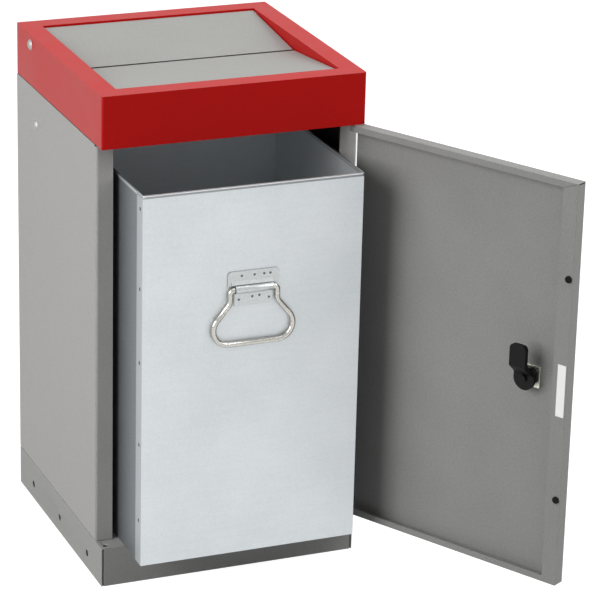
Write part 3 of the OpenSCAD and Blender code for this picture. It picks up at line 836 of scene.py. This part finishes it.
@dataclass
class Studio:
    """White floor and surround, soft lamps, and the camera of the product picture.

    Attributes:
        floor_half: Half the floor's width.
        floor_tint: Colour of the floor's paper.
        floor_rough: Roughness of the paper.
        floor_lift: Light added to the floor where it is seen, so that it looks white.
        plinth_half: Half the width of the dark square under the plinth.
        surround: Strength of the surround where it is not seen.
        lamps: The soft lamps.
        eye: Where the camera stands.
        ahead: The direction that it looks in.
        upward: The direction that is up in the picture.
        focal_px: Focal length in pixels of the picture.
        sensor_mm: Width of the sensor.
        sight: How far the camera sees.
    """

    floor_half: float = 9.0
    floor_tint: str = "#949494"
    floor_rough: float = 0.9
    floor_lift: float = 0.92
    plinth_half: float = 0.165
    surround: float = 0.22
    lamps: tuple[Lamp, ...] = (Lamp("left", (-3.0, -0.95, 1.75), 2.4, 88.0),
                               Lamp("overhead", (0.1, 0.0, 2.8), 1.6, 22.0),
                               Lamp("right", (3.0, -1.3, 2.4), 3.0, 108.0))
    eye: tuple[float, float, float] = (-1.278, -3.455, 1.705)
    ahead: tuple[float, float, float] = (0.3592, 0.8630, -0.3552)
    upward: tuple[float, float, float] = (0.1129, 0.3377, 0.9345)
    focal_px: float = 3065.2
    sensor_mm: float = 36.0
    sight: float = 50.0

    def build(self) -> None:
        """Sets up everything that is not part of the bin."""
        self.floor()
        self.world()
        for lamp in self.lamps:
            lamp.build()
        self.camera()

    def floor(self) -> None:
        """One pale plane; the camera sees it lifted to white, with the shadow kept.

        The lift stops under the plinth, where no light gets in.
        """
        half = self.floor_half
        mesh = bpy.data.meshes.new("studio_floor")
        mesh.from_pydata([(-half, -half, 0), (half, -half, 0), (half, half, 0), (-half, half, 0)],
                         [], [(0, 1, 2, 3)])
        mat = bpy.data.materials.new("white_paper_floor")
        mat.use_nodes = True
        tree = mat.node_tree
        place = add(tree, "TexCoord").outputs["Object"]
        parts = add(tree, "SeparateXYZ", Vector=place)
        across = add(tree, "Math", {"operation": "ABSOLUTE"}, i0=parts.outputs["X"])
        along = add(tree, "Math", {"operation": "ABSOLUTE"}, i0=parts.outputs["Y"])
        away = add(tree, "Math", {"operation": "MAXIMUM"}, i0=across.outputs[0],
                   i1=along.outputs[0])
        outside = add(tree, "Math", {"operation": "GREATER_THAN"}, i0=away.outputs[0],
                      i1=self.plinth_half)
        open_lift = add(tree, "Math", {"operation": "MULTIPLY"}, i0=outside.outputs[0],
                        i1=self.floor_lift)
        lift = add(tree, "Math", {"operation": "MULTIPLY"}, i0=self.seen(tree),
                   i1=open_lift.outputs[0])
        wire(tree, tree.nodes["Principled BSDF"], Base_Color=linear(self.floor_tint),
             Roughness=self.floor_rough, Emission_Color=WHITE,
             Emission_Strength=lift.outputs[0])
        mesh.materials.append(mat)
        floor = bpy.data.objects.new("studio_floor", mesh)
        bpy.context.scene.collection.objects.link(floor)

    def seen(self, tree: bpy.types.NodeTree) -> bpy.types.NodeSocket:
        """One for rays that show the surround: from the camera, a mirror or glass.

        Args:
            tree: The node tree to add to.

        Returns:
            The socket of the largest of the three ray kinds.
        """
        path = add(tree, "LightPath")
        mirror = add(tree, "Math", {"operation": "MAXIMUM"},
                     i0=path.outputs["Is Camera Ray"], i1=path.outputs["Is Glossy Ray"])
        glass = add(tree, "Math", {"operation": "MAXIMUM"},
                    i0=mirror.outputs[0], i1=path.outputs["Is Transmission Ray"])
        return glass.outputs[0]

    def world(self) -> None:
        """White surround, at full strength only where it is seen."""
        world = bpy.data.worlds.new("white_surround")
        world.use_nodes = True
        tree = world.node_tree
        power = add(tree, "MapRange", Value=self.seen(tree), To_Min=self.surround,
                    To_Max=1.0)
        wire(tree, tree.nodes["Background"], Color=WHITE, Strength=power.outputs["Result"])
        bpy.context.scene.world = world

    def camera(self) -> None:
        """The picture's viewpoint, worked out from the bin's straight edges."""
        ahead = Vector(self.ahead).normalized()
        right = ahead.cross(Vector(self.upward)).normalized()
        upward = right.cross(ahead)
        data = bpy.data.cameras.new("product_camera")
        data.sensor_width = self.sensor_mm
        data.lens = self.focal_px / IMAGE_PX * self.sensor_mm
        data.clip_end = self.sight
        camera = bpy.data.objects.new("product_camera", data)
        turn = Matrix((right, upward, -ahead)).transposed()
        camera.matrix_world = Matrix.Translation(self.eye) @ turn.to_4x4()
        bpy.context.scene.collection.objects.link(camera)
        bpy.context.scene.camera = camera


def main() -> None:
    """Builds the sub-assemblies and the studio."""
    logging.basicConfig(level=logging.INFO, format="%(message)s")
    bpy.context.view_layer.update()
    for part in (Plinth(), Cabinet(), Lid(), Flaps(), Door(), Lock(), Container(), Handle()):
        LOG.info("sub-assembly %s", type(part).__name__)
        part.build()
    Studio().build()
    bpy.context.scene.view_settings.view_transform = "Standard"
    bpy.context.view_layer.update()


if __name__ == "__main__":
    main()
